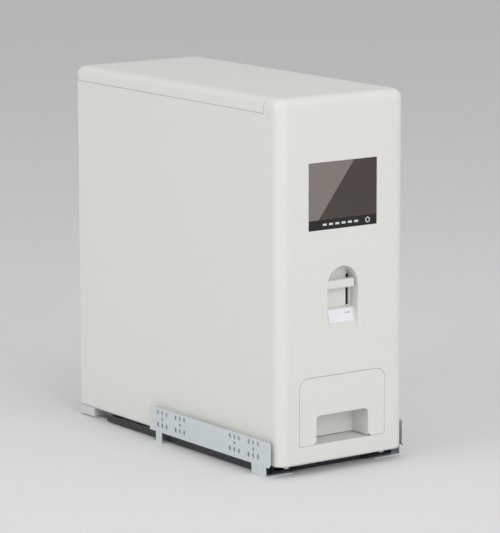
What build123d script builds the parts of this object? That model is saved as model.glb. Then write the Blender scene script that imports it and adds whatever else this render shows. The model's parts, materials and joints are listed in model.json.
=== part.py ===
from build123d import *
import os
from math import acos, atan2, cos, pi, radians, sin, sqrt, tan

os.makedirs("parts", exist_ok=True)

# A pull-out rice dispenser for a kitchen base cabinet. Millimetres, +Z up, front faces -Y. The origin is
# on the cabinet floor, in the middle of the footprint. Left is -X, as seen from the front.
# A span is the low and the high value along one axis.

# Body
body_width = 197.0
body_depth = 460.0
body_height = 460.0
floor_gap = 16.0
wall = 2.5
front_corner = 15.0
rear_corner = 5.0
top_edge = 12.0

# Lid
seam_drop = 20.0
front_strip = 32.0
lid_gap = 0.5
skirt_gap = 0.3
hinge_drop = 13.5
hinge_inset = 6.0
knuckle_radius = 5.0
knuckle_length = 5.7
hinge_pin_radius = 2.0
knuckle_gap = 0.3
seal_height = 2.8
lid_seal_gap = 0.2
seal_width = 3.0
seal_overhang = 0.3
downstand_wall = 2.0

# Sight window
window_width = 105.5
window_height = 84.2
window_bottom = 293.0
window_overlap = 5.75
gasket_reach = 6.0
pane_gap = 0.2

# Lever recess and lever
recess_radius = 23.5
recess_bottom = 163.0
recess_top = 244.5
recess_depth = 17.0
ledge_depth = 8.7
ledge_level = 189.0
ramp_top = 191.0
ramp_blend = 2.0
lever_bar_length = 42.0
lever_bar_height = 11.5
lever_bar_thickness = 9.0
lever_bar_corner = 2.6
lever_bar_setback = 3.8
arm_thickness = 3.0
arm_height = 8.0
hub_overhang = 5.0
slot_gap = 0.6
lever_shaft_inset = 65.0
lever_shaft_height = 207.0
lever_bar_level = 221.0
label_width = 37.6
label_height = 16.5
label_thickness = 1.0
label_corner = 1.5
label_level = 180.5

# Drawer
drawer_width = 133.0
drawer_bottom = 21.0
drawer_top = 107.0
drawer_corner = 13.0
drawer_gap = 0.4
grip_width = 81.5
grip_height = 37.0
grip_corner = 6.0
grip_depth = 34.0
grip_undercut = 15.0
grip_wall = 2.0
drawer_screw_reach = 30.0
drawer_screw_drop = 6.0
leg_corner = 6.5
panel_thickness = 3.0
tray_width = 120.0
tray_length = 166.0
tray_height = 72.0
tray_wall = 2.0
tray_clearance = 1.2
guide_clearance = 0.2

# Metering train
gear_module = 2.0
sector_teeth_full = 88
pinion_teeth = 22
backlash = 0.3
pressure_angle = radians(20)
gear_width = 4.0
shaft_radius = 4.0
drum_inset = 160.0
drum_radius = 34.0
drum_length = 120.0
drum_end = 4.0
drum_clearance = 0.4
housing_wall = 2.5
housing_side_gap = 0.5
plate_thickness = 2.0
bush_wall = 2.0
bush_flange = 2.0
bush_flange_thickness = 1.0
running_clearance = 0.05
press_clearance = 0.02
ring_thickness = 0.8
ring_rim = 2.6
groove_depth = 0.8

# Hopper
hopper_wall = 2.0
hopper_side_gap = 8.0
hopper_rear_gap = 15.5
rim_thickness = 2.5
rim_drop = 4.0
slope_start = 284.0
rear_slope_start = 384.0
outlet_width = 44.0

# Runners, brackets and frame
sheet = 1.8
rail_sheet = 1.2
rail_half_width = 22.0
rail_inset = 23.5
rail_front_inset = 24.0
rail_rear_gap = 31.0
rail_height = 9.2
ball_radius = 1.5
ball_gap = 0.1
balls_per_row = 6
tie_inset = 5.0
tie_width = 11.5
tie_end_gap = 0.5
stop_gap = 0.1
clip_setback = 2.3
clip_width = 6.0
clip_length = 6.0
clip_height = 6.5
bracket_reach = 8.5
bracket_front = 10.5
bracket_rear = 276.5
bracket_bottom = 14.2
bracket_top = 46.4
bracket_corner = 2.5
bracket_return = 1.5
front_foot = (17.7, 47.5)
rear_foot = (249.5, 262.5)
hole_group_centres = (43.8, 84.8, 207.0, 247.6)
hole_pitch = 10.0
slot_width = 4.3
slot_length = 6.5
pilot_radius = 2.25
slot_rows = (24.0, 40.3)
pilot_level = 32.2
foot_length = 34.0
foot_width = 34.0
foot_corner = 3.0
foot_gap = 0.3
screw_radius = 1.6
screw_head_radius = 2.8
screw_head = 1.4
screw_clearance = 0.2
screw_tip_gap = 0.3

# Levels and places worked out from the sizes above
front_y = -body_depth / 2
rear_y = body_depth / 2
side_x = body_width / 2
inner_x = side_x - wall
body_top = floor_gap + body_height
seam_z = body_top - seam_drop
strip_y = front_y + front_strip
hinge_y = rear_y - hinge_inset
hinge_z = body_top - hinge_drop
window_z = (floor_gap + window_bottom, floor_gap + window_bottom + window_height)
recess_back = front_y + recess_depth
arch_z = floor_gap + recess_top - recess_radius
lever_y = front_y + lever_shaft_inset
lever_z = floor_gap + lever_shaft_height
bar_z = floor_gap + lever_bar_level
bar_y = front_y + lever_bar_setback + lever_bar_thickness / 2
sector_radius = gear_module * sector_teeth_full / 2
pinion_radius = gear_module * pinion_teeth / 2
gear_distance = sector_radius + pinion_radius
drum_y = front_y + drum_inset
drum_z = lever_z - sqrt(gear_distance**2 - (drum_y - lever_y) ** 2)
mesh_angle = atan2(drum_z - lever_z, drum_y - lever_y)
bore_radius = drum_radius + drum_clearance
housing_radius = bore_radius + housing_wall
outlet_z = drum_z + housing_radius + 1.5
housing_x = drum_length / 2 + housing_side_gap + housing_wall
plate_x = (housing_x + 5.0, housing_x + 5.0 + plate_thickness)
gear_x = (plate_x[1] + 2.2, plate_x[1] + 2.2 + gear_width)
shaft_end = gear_x[1] + 2.6
sill_z = floor_gap + drawer_bottom
drawer_z = (sill_z + drawer_gap, floor_gap + drawer_top)
tray_z = (sill_z + tray_clearance, sill_z + tray_clearance + tray_height)
grip_back = front_y + grip_depth
tray_y = (grip_back + tray_wall, grip_back + tray_wall + tray_length)
rim_z = (seam_z - rim_drop - rim_thickness, seam_z - rim_drop)
hopper_x = side_x - hopper_side_gap - wall
hopper_y = (front_y + wall + 6.5, rear_y - wall - hopper_rear_gap)
rim_y = (front_y + wall + 1.0, hopper_y[1] + 5.0)
mouth_x = hopper_x - hopper_wall - 2.0
mouth_y = (strip_y + 8.0, hopper_y[1] - 5.0)
base_z = (floor_gap - 1.5, floor_gap)
rail_x = side_x - rail_inset
rail_y = (front_y + rail_front_inset, rear_y - foot_length - rail_rear_gap)
bracket_x = side_x + bracket_reach
tapped_hole = screw_radius + press_clearance
clear_hole = screw_radius + screw_clearance


def length(span):
    return span[1] - span[0]


def middle(span):
    return (span[0] + span[1]) / 2


def slab(x_span, y_span, z_span, mode=Mode.ADD):
    """A rectangular block, added to or cut from the piece being made."""
    with BuildSketch(Plane.XY.offset(z_span[0])) as outline:
        with Locations((middle(x_span), middle(y_span))):
            Rectangle(length(x_span), length(y_span))
    extrude(outline.sketch, amount=length(z_span), mode=mode)


def rod(radius, x_span, y, z, mode=Mode.ADD):
    """A round bar or hole along X."""
    with BuildSketch(Plane.YZ.offset(x_span[0])) as section:
        with Locations((y, z)):
            Circle(radius)
    extrude(section.sketch, amount=length(x_span), mode=mode)


def post(radius, x, y, z_span, mode=Mode.ADD):
    """A round bar or hole along Z."""
    with BuildSketch(Plane.XY.offset(z_span[0])) as section:
        with Locations((x, y)):
            Circle(radius)
    extrude(section.sketch, amount=length(z_span), mode=mode)


def stud(radius, x, y_span, z, mode=Mode.ADD):
    """A round bar or hole along Y."""
    with BuildSketch(Plane.XZ.offset(-y_span[1])) as section:
        with Locations((x, z)):
            Circle(radius)
    extrude(section.sketch, amount=length(y_span), mode=mode)


def side_prism(points, x_span, mode=Mode.ADD):
    """A prism along X, from its outline in Y and Z."""
    with BuildSketch(Plane.YZ.offset(x_span[0])) as section:
        with BuildLine():
            Polyline(*points, close=True)
        make_face()
    extrude(section.sketch, amount=length(x_span), mode=mode)


def front_prism(points, y_span, mode=Mode.ADD):
    """A prism along Y, from its outline in X and Z."""
    with BuildSketch(Plane.XZ.offset(-y_span[1])) as section:
        with BuildLine():
            Polyline(*points, close=True)
        make_face()
    extrude(section.sketch, amount=length(y_span), mode=mode)


def both(x_span):
    """The same span on the right and, mirrored, on the left."""
    return (x_span, (-x_span[1], -x_span[0]))


def write_pair(name, piece):
    """Writes the right-hand piece and its mirror image for the left."""
    with BuildPart() as other:
        mirror(piece.part, about=Plane.YZ)
    piece.part.label = name + "_right"
    export_step(piece.part, "parts/" + name + "_right.step")
    other.part.label = name + "_left"
    export_step(other.part, "parts/" + name + "_left.step")


def envelope(inset, bottom):
    """The body's rounded block, with every face moved in by inset, down to bottom."""
    with BuildPart() as block:
        with BuildSketch(Plane.XY.offset(bottom)) as plan:
            Rectangle(body_width - 2 * inset, body_depth - 2 * inset)
            fillet(plan.vertices().group_by(Axis.Y)[0], front_corner - inset)
            fillet(plan.vertices().group_by(Axis.Y)[-1], rear_corner - inset)
        extrude(amount=body_top - inset - bottom)
        crown = block.faces().sort_by(Axis.Z)[-1].edges()
        rear_edge = crown.sort_by(Axis.Y)[-1]
        rear_turns = crown.filter_by(GeomType.CIRCLE).sort_by(Axis.Y)[-2:]
        rim = [edge for edge in crown if edge not in [rear_edge, *rear_turns]]
        fillet(rim, top_edge - inset)
    return block.part


# ---------------------------------------------------------------- body shell

def window_opening(grow, y_span, mode):
    """The window's rectangle, larger by grow on every side."""
    half = window_width / 2 + grow
    slab((-half, half), y_span, (window_z[0] - grow, window_z[1] + grow), mode)


def recess_block(grow, y_span):
    """The finger recess: an arch from the front, with a ramp and a ledge at its foot from the side."""
    ramp_foot = floor_gap + recess_bottom
    ledge_z = floor_gap + ledge_level
    slope = (ledge_z - ramp_foot) / ledge_depth
    radius = recess_radius + grow
    with BuildPart() as block:
        with BuildSketch(Plane.YZ.offset(-radius)) as side_view:
            with BuildLine():
                Polyline(
                    (front_y - 1, ramp_foot - slope),
                    (front_y + ledge_depth, ledge_z),
                    (recess_back, floor_gap + ramp_top),
                    (recess_back, arch_z + recess_radius + 5),
                    (front_y - 1, arch_z + recess_radius + 5),
                    close=True,
                )
            make_face()
            if grow:
                offset(amount=grow, kind=Kind.INTERSECTION)
            foot = side_view.vertices().group_by(Axis.X)[-1].sort_by(Axis.Y)[0]
            fillet(foot, ramp_blend + grow)
        extrude(amount=2 * radius)
        with BuildSketch(Plane.XZ.offset(-y_span[1])):
            with Locations((0, arch_z)):
                Circle(radius)
            with Locations((0, arch_z)):
                Rectangle(2 * radius, arch_z - ramp_foot + grow + 5, align=(Align.CENTER, Align.MAX))
        extrude(amount=length(y_span), mode=Mode.INTERSECT)
    return block.part


with BuildPart() as body_hollow:
    add(envelope(wall, floor_gap - 1))
    slab((-side_x, side_x), (strip_y - wall, strip_y), (rim_z[1] + 0.3, body_top), Mode.SUBTRACT)

outer_block = envelope(0, floor_gap)
recess_housing = recess_block(wall, (front_y + 1, recess_back + wall + 1))
recess_hollow = recess_block(0, (front_y - 1, recess_back + 1))
arm_x = (lever_bar_length / 2 - arm_thickness, lever_bar_length / 2)
cover_gap = 20.0
cover_x = side_x - cover_gap
cover_z = (floor_gap + 24.0, seam_z - 24.0)
cover_thickness = 2.0
ledge = 8.0
boss_radius = 4.0
boss_height = 12.0
boss_hole_depth = 10.0
rim_block_half = 6.0
rim_block_height = 10.0
rim_hole_depth = 8.0
boss_x = inner_x - 3.0
boss_rows = (front_y + 30.0, 0.0, rear_y - 50.0)
rim_block_rows = (front_y + 50.0, 0.0, rear_y - 50.0)
rim_block_x = (hopper_x + 0.6, inner_x + 1.0)
rim_screw_x = inner_x - 3.7
hinge_lug_x = (inner_x - 18.7, inner_x - 11.3)
hinge_screw_z = seam_z - 10.0
hinge_leaf = 4.5
cover_gap_round = 0.3
cover_head = 1.2
cover_screw_x = cover_x - ledge / 2
cover_screw_rows = (cover_z[0] + ledge / 2, middle(cover_z), cover_z[1] - ledge / 2)

with BuildPart() as body_shell:
    add(outer_block)
    add(body_hollow.part, mode=Mode.SUBTRACT)
    slab((-side_x - 1, side_x + 1), (strip_y, rear_y + 1), (seam_z, body_top + 1), Mode.SUBTRACT)
    # sight window, drawer opening and the shelf over which the drawer slides
    window_opening(pane_gap, (front_y - 1, front_y + wall + 1), Mode.SUBTRACT)
    half_opening = drawer_width / 2 + drawer_gap
    with BuildSketch(Plane.XZ.offset(-(front_y + wall + 1))) as opening:
        with Locations((0, sill_z)):
            Rectangle(2 * half_opening, drawer_z[1] + drawer_gap - sill_z, align=(Align.CENTER, Align.MIN))
        fillet(opening.vertices().group_by(Axis.Y)[-1], drawer_corner + drawer_gap)
    extrude(amount=wall + 2, mode=Mode.SUBTRACT)
    shelf_y = (front_y + wall / 2, grip_back + 4)
    slab((-half_opening - 1.5, half_opening + 1.5), shelf_y, (sill_z - wall, sill_z))
    # lever recess with the slit for the lever's arm
    add(recess_housing)
    add(recess_hollow, mode=Mode.SUBTRACT)
    slit_x = (arm_x[0] - slot_gap, arm_x[1] + slot_gap)
    slit_z = (floor_gap + ramp_top, arch_z + 9)
    slab(slit_x, (recess_back - 6, recess_back + wall + 6), slit_z, Mode.SUBTRACT)
    # rear service opening with a ledge for its cover
    ledge_y = (rear_y - cover_thickness - 3.0, rear_y - cover_thickness - 0.1)
    slab((-cover_x - 4, cover_x + 4), ledge_y, (cover_z[0] - 4, cover_z[1] + 4))
    slab((-cover_x, cover_x), (ledge_y[1], rear_y + 1), cover_z, Mode.SUBTRACT)
    slab(
        (-cover_x + ledge, cover_x - ledge),
        (ledge_y[0] - 1, rear_y + 1),
        (cover_z[0] + ledge, cover_z[1] - ledge),
        Mode.SUBTRACT,
    )
    for row in cover_screw_rows:
        for x in (-cover_screw_x, cover_screw_x):
            stud(tapped_hole, x, (ledge_y[0] - 1, rear_y + 1), row, Mode.SUBTRACT)
    # screw bosses for the base plate, and blocks that carry the hopper's rim
    for side in (-1, 1):
        for row in boss_rows:
            post(boss_radius, side * boss_x, row, (floor_gap, floor_gap + boss_height))
            boss_hole_z = (floor_gap, floor_gap + boss_hole_depth)
            post(tapped_hole, side * boss_x, row, boss_hole_z, Mode.SUBTRACT)
    for x_span in both(rim_block_x):
        for row in rim_block_rows:
            block_y = (row - rim_block_half, row + rim_block_half)
            slab(x_span, block_y, (rim_z[0] - rim_block_height, rim_z[0]))
    for side in (-1, 1):
        for row in rim_block_rows:
            rim_hole_z = (rim_z[0] - rim_hole_depth, rim_z[0])
            post(tapped_hole, side * rim_screw_x, row, rim_hole_z, Mode.SUBTRACT)
        stud(
            tapped_hole,
            side * middle(hinge_lug_x),
            (rear_y - wall, rear_y - wall + 1.6),
            hinge_screw_z,
            Mode.SUBTRACT,
        )
body_shell.part.label = "body_shell"
export_step(body_shell.part, "parts/body_shell.step")

with BuildPart() as rear_cover:
    cover_y = (ledge_y[1], ledge_y[1] + cover_thickness)
    inner_cover_x = cover_x - cover_gap_round
    inner_cover_z = (cover_z[0] + cover_gap_round, cover_z[1] - cover_gap_round)
    slab((-inner_cover_x, inner_cover_x), cover_y, inner_cover_z)
    for row in cover_screw_rows:
        for x in (-cover_screw_x, cover_screw_x):
            stud(clear_hole, x, (cover_y[0] - 1, cover_y[1] + 1), row, Mode.SUBTRACT)
            head_y = (cover_y[1] - cover_head, cover_y[1] + 1)
            stud(screw_head_radius + 0.1, x, head_y, row, Mode.SUBTRACT)
rear_cover.part.label = "rear_cover"
export_step(rear_cover.part, "parts/rear_cover.step")

with BuildPart() as rear_cover_screws:
    for row in cover_screw_rows:
        for x in (-cover_screw_x, cover_screw_x):
            stud(screw_head_radius, x, (cover_y[1] - cover_head, cover_y[1]), row)
            stud(screw_radius, x, (ledge_y[0] - 3, cover_y[1]), row)
rear_cover_screws.part.label = "rear_cover_screws"
export_step(rear_cover_screws.part, "parts/rear_cover_screws.step")

# ---------------------------------------------------------------- lid and hinge

lug_gap_x = (hinge_lug_x[0] - knuckle_gap, hinge_lug_x[1] + knuckle_gap)
knuckles_x = (
    (lug_gap_x[0] - knuckle_length, lug_gap_x[0]),
    (lug_gap_x[1], lug_gap_x[1] + knuckle_length),
)
downstand_x = rim_screw_x - screw_head_radius - 0.5
downstand_y = (strip_y + lid_gap + 2.0, hopper_y[1] + 1.0)
seal_z = (rim_z[1] + lid_seal_gap, rim_z[1] + lid_seal_gap + seal_height)


def seal_ring(thickness, grow, z_span):
    """A rectangular ring round the fill opening."""
    out_x = downstand_x + grow
    out_y = (downstand_y[0] - grow, downstand_y[1] + grow)
    slab((-out_x, out_x), out_y, z_span)
    in_x = out_x - thickness
    in_y = (out_y[0] + thickness, out_y[1] - thickness)
    slab((-in_x, in_x), in_y, z_span, Mode.SUBTRACT)


with BuildPart() as downstand:
    seal_ring(downstand_wall, 0.0, (seal_z[1], body_top - wall + 0.5))

with BuildPart() as lid:
    add(outer_block)
    add(envelope(wall, floor_gap - 1), mode=Mode.SUBTRACT)
    everywhere_x = (-side_x - 1, side_x + 1)
    slab(everywhere_x, (front_y - 1, rear_y + 1), (floor_gap - 2, seam_z + skirt_gap), Mode.SUBTRACT)
    slab(everywhere_x, (front_y - 1, strip_y + lid_gap), (floor_gap, body_top + 1), Mode.SUBTRACT)
    # the skirt stops at the hinge axis, so that its lower edge turns clear of the shell
    slab(everywhere_x, (hinge_y, rear_y + 1), (seam_z, hinge_z), Mode.SUBTRACT)
    add(downstand.part)
    for x_side in (-1, 1):
        for span in knuckles_x:
            x_span = span if x_side > 0 else (-span[1], -span[0])
            rod(knuckle_radius, x_span, hinge_y, hinge_z)
            slab(x_span, (hinge_y - knuckle_radius + 0.5, hinge_y + 4), (hinge_z, body_top - wall + 0.5))
            rod(hinge_pin_radius + running_clearance, x_span, hinge_y, hinge_z, Mode.SUBTRACT)
    for x_span in both(lug_gap_x):
        notch_z = (hinge_z - 1, hinge_z + knuckle_radius + 2.5)
        slab(x_span, (hinge_y - knuckle_radius - 1, rear_y + 1), notch_z, Mode.SUBTRACT)
lid.part.label = "lid"
export_step(lid.part, "parts/lid.step")

with BuildPart() as lid_seal:
    seal_ring(seal_width, seal_overhang, seal_z)
lid_seal.part.label = "lid_seal"
export_step(lid_seal.part, "parts/lid_seal.step")

with BuildPart() as hinge_brackets:
    for x_span in both(hinge_lug_x):
        rod(knuckle_radius, x_span, hinge_y, hinge_z)
        slab(x_span, (hinge_y - hinge_leaf, rear_y - wall - 0.2), (hinge_screw_z - 10, hinge_z))
        rod(hinge_pin_radius + press_clearance, x_span, hinge_y, hinge_z, Mode.SUBTRACT)
        lug_centre = middle(x_span)
        screw_way = (hinge_y - 5, rear_y - wall)
        stud(tapped_hole, lug_centre, screw_way, hinge_screw_z, Mode.SUBTRACT)
hinge_brackets.part.label = "hinge_brackets"
export_step(hinge_brackets.part, "parts/hinge_brackets.step")

with BuildPart() as hinge_screws:
    for x_span in both(hinge_lug_x):
        seat_y = hinge_y - hinge_leaf
        stud(screw_head_radius, middle(x_span), (seat_y - screw_head, seat_y), hinge_screw_z)
        stud(screw_radius, middle(x_span), (seat_y, rear_y - wall + 1.5), hinge_screw_z)
hinge_screws.part.label = "hinge_screws"
export_step(hinge_screws.part, "parts/hinge_screws.step")

with BuildPart() as hinge_pins:
    for x_span in both((knuckles_x[0][0] - 0.5, knuckles_x[1][1] + 0.5)):
        rod(hinge_pin_radius, x_span, hinge_y, hinge_z)
hinge_pins.part.label = "hinge_pins"
export_step(hinge_pins.part, "parts/hinge_pins.step")

# ---------------------------------------------------------------- sight window

with BuildPart() as window_pane:
    window_opening(0.0, (front_y, front_y + wall), Mode.ADD)
window_pane.part.label = "window_pane"
export_step(window_pane.part, "parts/window_pane.step")

with BuildPart() as window_gasket:
    window_opening(gasket_reach, (front_y + wall, hopper_y[0]), Mode.ADD)
    window_opening(-window_overlap, (front_y + wall, hopper_y[0]), Mode.SUBTRACT)
window_gasket.part.label = "window_gasket"
export_step(window_gasket.part, "parts/window_gasket.step")

# ---------------------------------------------------------------- hopper

outlet_x = drum_length / 2 - drum_end
outlet_y = (drum_y - outlet_width / 2, drum_y + outlet_width / 2)
slope_z = floor_gap + slope_start
rear_slope_z = floor_gap + rear_slope_start

with BuildPart() as hopper:
    side_prism(
        [
            (hopper_y[0], rim_z[1]),
            (hopper_y[0], slope_z),
            (outlet_y[0], outlet_z),
            (outlet_y[1], outlet_z),
            (hopper_y[1], rear_slope_z),
            (hopper_y[1], rim_z[1]),
        ],
        (-hopper_x, hopper_x),
    )
    front_prism(
        [
            (-hopper_x, rim_z[1]),
            (-hopper_x, slope_z),
            (-outlet_x, outlet_z),
            (outlet_x, outlet_z),
            (hopper_x, slope_z),
            (hopper_x, rim_z[1]),
        ],
        hopper_y,
        Mode.INTERSECT,
    )
    ends = hopper.faces().filter_by(Axis.Z).sort_by(Axis.Z)
    offset(amount=-hopper_wall, openings=[ends[0], ends[-1]])
    with BuildSketch(Plane.XY.offset(rim_z[0])) as rim:
        with Locations((0, middle(rim_y))):
            Rectangle(2 * inner_x - 1, length(rim_y))
        fillet(rim.vertices().group_by(Axis.Y)[0], front_corner - wall)
    extrude(amount=rim_thickness)
    slab((-mouth_x, mouth_x), mouth_y, (rim_z[0] - 0.5, rim_z[1] + 1), Mode.SUBTRACT)
    window_opening(-window_overlap, (hopper_y[0] - 1, hopper_y[0] + hopper_wall + 1), Mode.SUBTRACT)
    for side in (-1, 1):
        for row in rim_block_rows:
            post(clear_hole, side * rim_screw_x, row, (rim_z[0] - 1, rim_z[1] + 1), Mode.SUBTRACT)
hopper.part.label = "hopper"
export_step(hopper.part, "parts/hopper.step")

with BuildPart() as hopper_screws:
    for side in (-1, 1):
        for row in rim_block_rows:
            post(screw_head_radius, side * rim_screw_x, row, (rim_z[1], rim_z[1] + screw_head))
            post(screw_radius, side * rim_screw_x, row, (rim_z[0] - rim_hole_depth + 1, rim_z[1]))
hopper_screws.part.label = "hopper_screws"
export_step(hopper_screws.part, "parts/hopper_screws.step")

# ---------------------------------------------------------------- mechanism plates

spacer_radius = 4.0
spacer_pin_radius = 2.5
spacer_gap = 5.6
spacer_angle = radians(25.5)
spacer_reach = housing_radius + spacer_radius + spacer_gap
spacer_places = (
    (lever_y - 16, drum_z - 18),
    (drum_y - 55, tray_z[1] + 18),
    (drum_y + spacer_reach * cos(spacer_angle), drum_z + spacer_reach * sin(spacer_angle)),
)
plate_tab_y = (drum_y - 70, drum_y + 10)
hub_radius = shaft_radius + 5.0
plate_screw_rows = (plate_tab_y[0] + 8, plate_tab_y[1] - 8)
tab_x = (plate_x[1], plate_x[1] + 9.0)

with BuildPart() as mechanism_plate:
    top_z = lever_z + hub_radius
    side_prism(
        [
            (plate_tab_y[0] - 44, base_z[1]),
            (plate_tab_y[1] + 30, base_z[1]),
            (plate_tab_y[1] + 50, drum_z + 30),
            (drum_y, drum_z + 30),
            (lever_y + 22, top_z),
            (lever_y - 14, top_z),
            (plate_tab_y[0] - 49, drum_z - 30),
        ],
        plate_x,
    )
    slab(tab_x, plate_tab_y, (base_z[1], base_z[1] + plate_thickness))
    for y, z in ((lever_y, lever_z), (drum_y, drum_z)):
        rod(shaft_radius + bush_wall + press_clearance, plate_x, y, z, Mode.SUBTRACT)
    for y, z in spacer_places:
        rod(spacer_pin_radius + press_clearance, plate_x, y, z, Mode.SUBTRACT)
    for row in plate_screw_rows:
        hole_z = (base_z[1] - 1, base_z[1] + plate_thickness + 1)
        post(clear_hole, middle(tab_x), row, hole_z, Mode.SUBTRACT)
write_pair("mechanism_plate", mechanism_plate)

with BuildPart() as plate_spacers:
    for y, z in spacer_places:
        rod(spacer_radius, (-plate_x[0], plate_x[0]), y, z)
        rod(spacer_pin_radius, (-plate_x[1] - 0.6, plate_x[1] + 0.6), y, z)
plate_spacers.part.label = "plate_spacers"
export_step(plate_spacers.part, "parts/plate_spacers.step")


def bushes(y, z):
    """Flanged bushes in both plates, on one axis."""
    with BuildPart() as pair:
        for x_span in both((plate_x[0], plate_x[1])):
            rod(shaft_radius + bush_wall, x_span, y, z)
        for x_span in both((plate_x[0] - bush_flange_thickness, plate_x[0])):
            rod(shaft_radius + bush_wall + bush_flange, x_span, y, z)
        for x_span in both((plate_x[0] - bush_flange_thickness - 1, plate_x[1] + 1)):
            rod(shaft_radius + running_clearance, x_span, y, z, Mode.SUBTRACT)
    return pair


lever_bushes = bushes(lever_y, lever_z)
lever_bushes.part.label = "lever_bushes"
export_step(lever_bushes.part, "parts/lever_bushes.step")

drum_bushes = bushes(drum_y, drum_z)
drum_bushes.part.label = "drum_bushes"
export_step(drum_bushes.part, "parts/drum_bushes.step")

with BuildPart() as mechanism_screws:
    for side in (-1, 1):
        for row in plate_screw_rows:
            seat = base_z[1] + plate_thickness
            post(screw_head_radius, side * middle(tab_x), row, (seat, seat + screw_head))
            post(screw_radius, side * middle(tab_x), row, (base_z[0] + screw_tip_gap, seat))
mechanism_screws.part.label = "mechanism_screws"
export_step(mechanism_screws.part, "parts/mechanism_screws.step")

# ---------------------------------------------------------------- gears


def tooth_points(teeth, centre_angle, y, z):
    """One involute tooth, centred on an angle from +Y towards +Z, about an axis at y, z."""
    pitch = gear_module * teeth / 2
    base = pitch * cos(pressure_angle)
    outer = pitch + gear_module
    root = pitch - 1.25 * gear_module
    half_at_pitch = (pi * gear_module / 2 - backlash / 2) / (2 * pitch)

    def half_angle(radius):
        if radius <= base:
            turn = 0.0
        else:
            alpha = acos(base / radius)
            turn = tan(alpha) - alpha
        return half_at_pitch + tan(pressure_angle) - pressure_angle - turn

    start = max(base, root)
    steps = 6
    radii = [start + (outer - start) * step / steps for step in range(steps + 1)]
    flank = [(root - 0.5, half_angle(start))]
    flank += [(radius, half_angle(radius)) for radius in radii]
    low_side = [(radius, centre_angle - angle) for radius, angle in flank]
    high_side = [(radius, centre_angle + angle) for radius, angle in reversed(flank)]
    return [(y + radius * cos(a), z + radius * sin(a)) for radius, a in low_side + high_side]


sector_step = 2 * pi / sector_teeth_full
pinion_step = 2 * pi / pinion_teeth
sector_steps = range(-8, 3)

with BuildPart() as drive_sector:
    root_radius = sector_radius - 1.25 * gear_module
    first = mesh_angle + (sector_steps[0] - 0.5) * sector_step
    last = mesh_angle + (sector_steps[-1] + 0.5) * sector_step
    with BuildSketch(Plane.YZ.offset(gear_x[0])) as fan:
        with Locations((lever_y, lever_z)):
            Circle(root_radius)
        with BuildLine():
            reach = 2 * root_radius
            Polyline(
                (lever_y, lever_z),
                (lever_y + reach * cos(first), lever_z + reach * sin(first)),
                (lever_y + reach * cos(last), lever_z + reach * sin(last)),
                close=True,
            )
        make_face(mode=Mode.INTERSECT)
    extrude(amount=gear_width)
    for count in sector_steps:
        tooth_angle = mesh_angle + count * sector_step
        side_prism(tooth_points(sector_teeth_full, tooth_angle, lever_y, lever_z), gear_x)
    rod(hub_radius, gear_x, lever_y, lever_z)
    lightening_angle = (first + last) / 2
    for radius, size in ((32.0, 8.0), (58.0, 13.0)):
        hole_y = lever_y + radius * cos(lightening_angle)
        hole_z = lever_z + radius * sin(lightening_angle)
        rod(size, gear_x, hole_y, hole_z, Mode.SUBTRACT)
    rod(shaft_radius + press_clearance, gear_x, lever_y, lever_z, Mode.SUBTRACT)
drive_sector.part.label = "drive_sector"
export_step(drive_sector.part, "parts/drive_sector.step")

with BuildPart() as drum_pinion:
    rod(pinion_radius - 1.25 * gear_module, gear_x, drum_y, drum_z)
    for count in range(pinion_teeth):
        angle = mesh_angle + pi + (count + 0.5) * pinion_step
        side_prism(tooth_points(pinion_teeth, angle, drum_y, drum_z), gear_x)
    rod(hub_radius, (gear_x[0] - 1.6, gear_x[1]), drum_y, drum_z)
    rod(shaft_radius + press_clearance, (gear_x[0] - 2, gear_x[1]), drum_y, drum_z, Mode.SUBTRACT)
drum_pinion.part.label = "drum_pinion"
export_step(drum_pinion.part, "parts/drum_pinion.step")


def shaft(y, z):
    """A plain shaft through both plates, with a groove near each end for a retaining ring."""
    with BuildPart() as bar:
        rod(shaft_radius, (-plate_x[1] - 3.5, shaft_end), y, z)
        for x_span in groove_spans:
            rod(shaft_radius + 1, x_span, y, z, Mode.SUBTRACT)
            rod(shaft_radius - groove_depth, (x_span[0] - 0.5, x_span[1] + 0.5), y, z)
    return bar


def rings(y, z):
    """Open retaining rings in the shaft's grooves."""
    with BuildPart() as pair:
        for x_span in groove_spans:
            ring_x = (x_span[0] + 0.1, x_span[1] - 0.1)
            rod(shaft_radius + ring_rim, ring_x, y, z)
            rod(shaft_radius - groove_depth + press_clearance, ring_x, y, z, Mode.SUBTRACT)
            mouth = shaft_radius - 1.2
            slab(ring_x, (y - mouth, y + mouth), (z, z + shaft_radius + 4), Mode.SUBTRACT)
    return pair


groove_width = ring_thickness + 0.2
groove_spans = (
    (-plate_x[1] - 0.5 - groove_width, -plate_x[1] - 0.5),
    (gear_x[1] + 0.3, gear_x[1] + 0.3 + groove_width),
)

lever_shaft = shaft(lever_y, lever_z)
lever_shaft.part.label = "lever_shaft"
export_step(lever_shaft.part, "parts/lever_shaft.step")

drum_shaft = shaft(drum_y, drum_z)
drum_shaft.part.label = "drum_shaft"
export_step(drum_shaft.part, "parts/drum_shaft.step")

lever_retaining_rings = rings(lever_y, lever_z)
lever_retaining_rings.part.label = "lever_retaining_rings"
export_step(lever_retaining_rings.part, "parts/lever_retaining_rings.step")

drum_retaining_rings = rings(drum_y, drum_z)
drum_retaining_rings.part.label = "drum_retaining_rings"
export_step(drum_retaining_rings.part, "parts/drum_retaining_rings.step")

# ---------------------------------------------------------------- lever

arm_angle = atan2(bar_z - lever_z, bar_y - lever_y)
arm_up = (-sin(arm_angle) * arm_height / 2, cos(arm_angle) * arm_height / 2)

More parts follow.
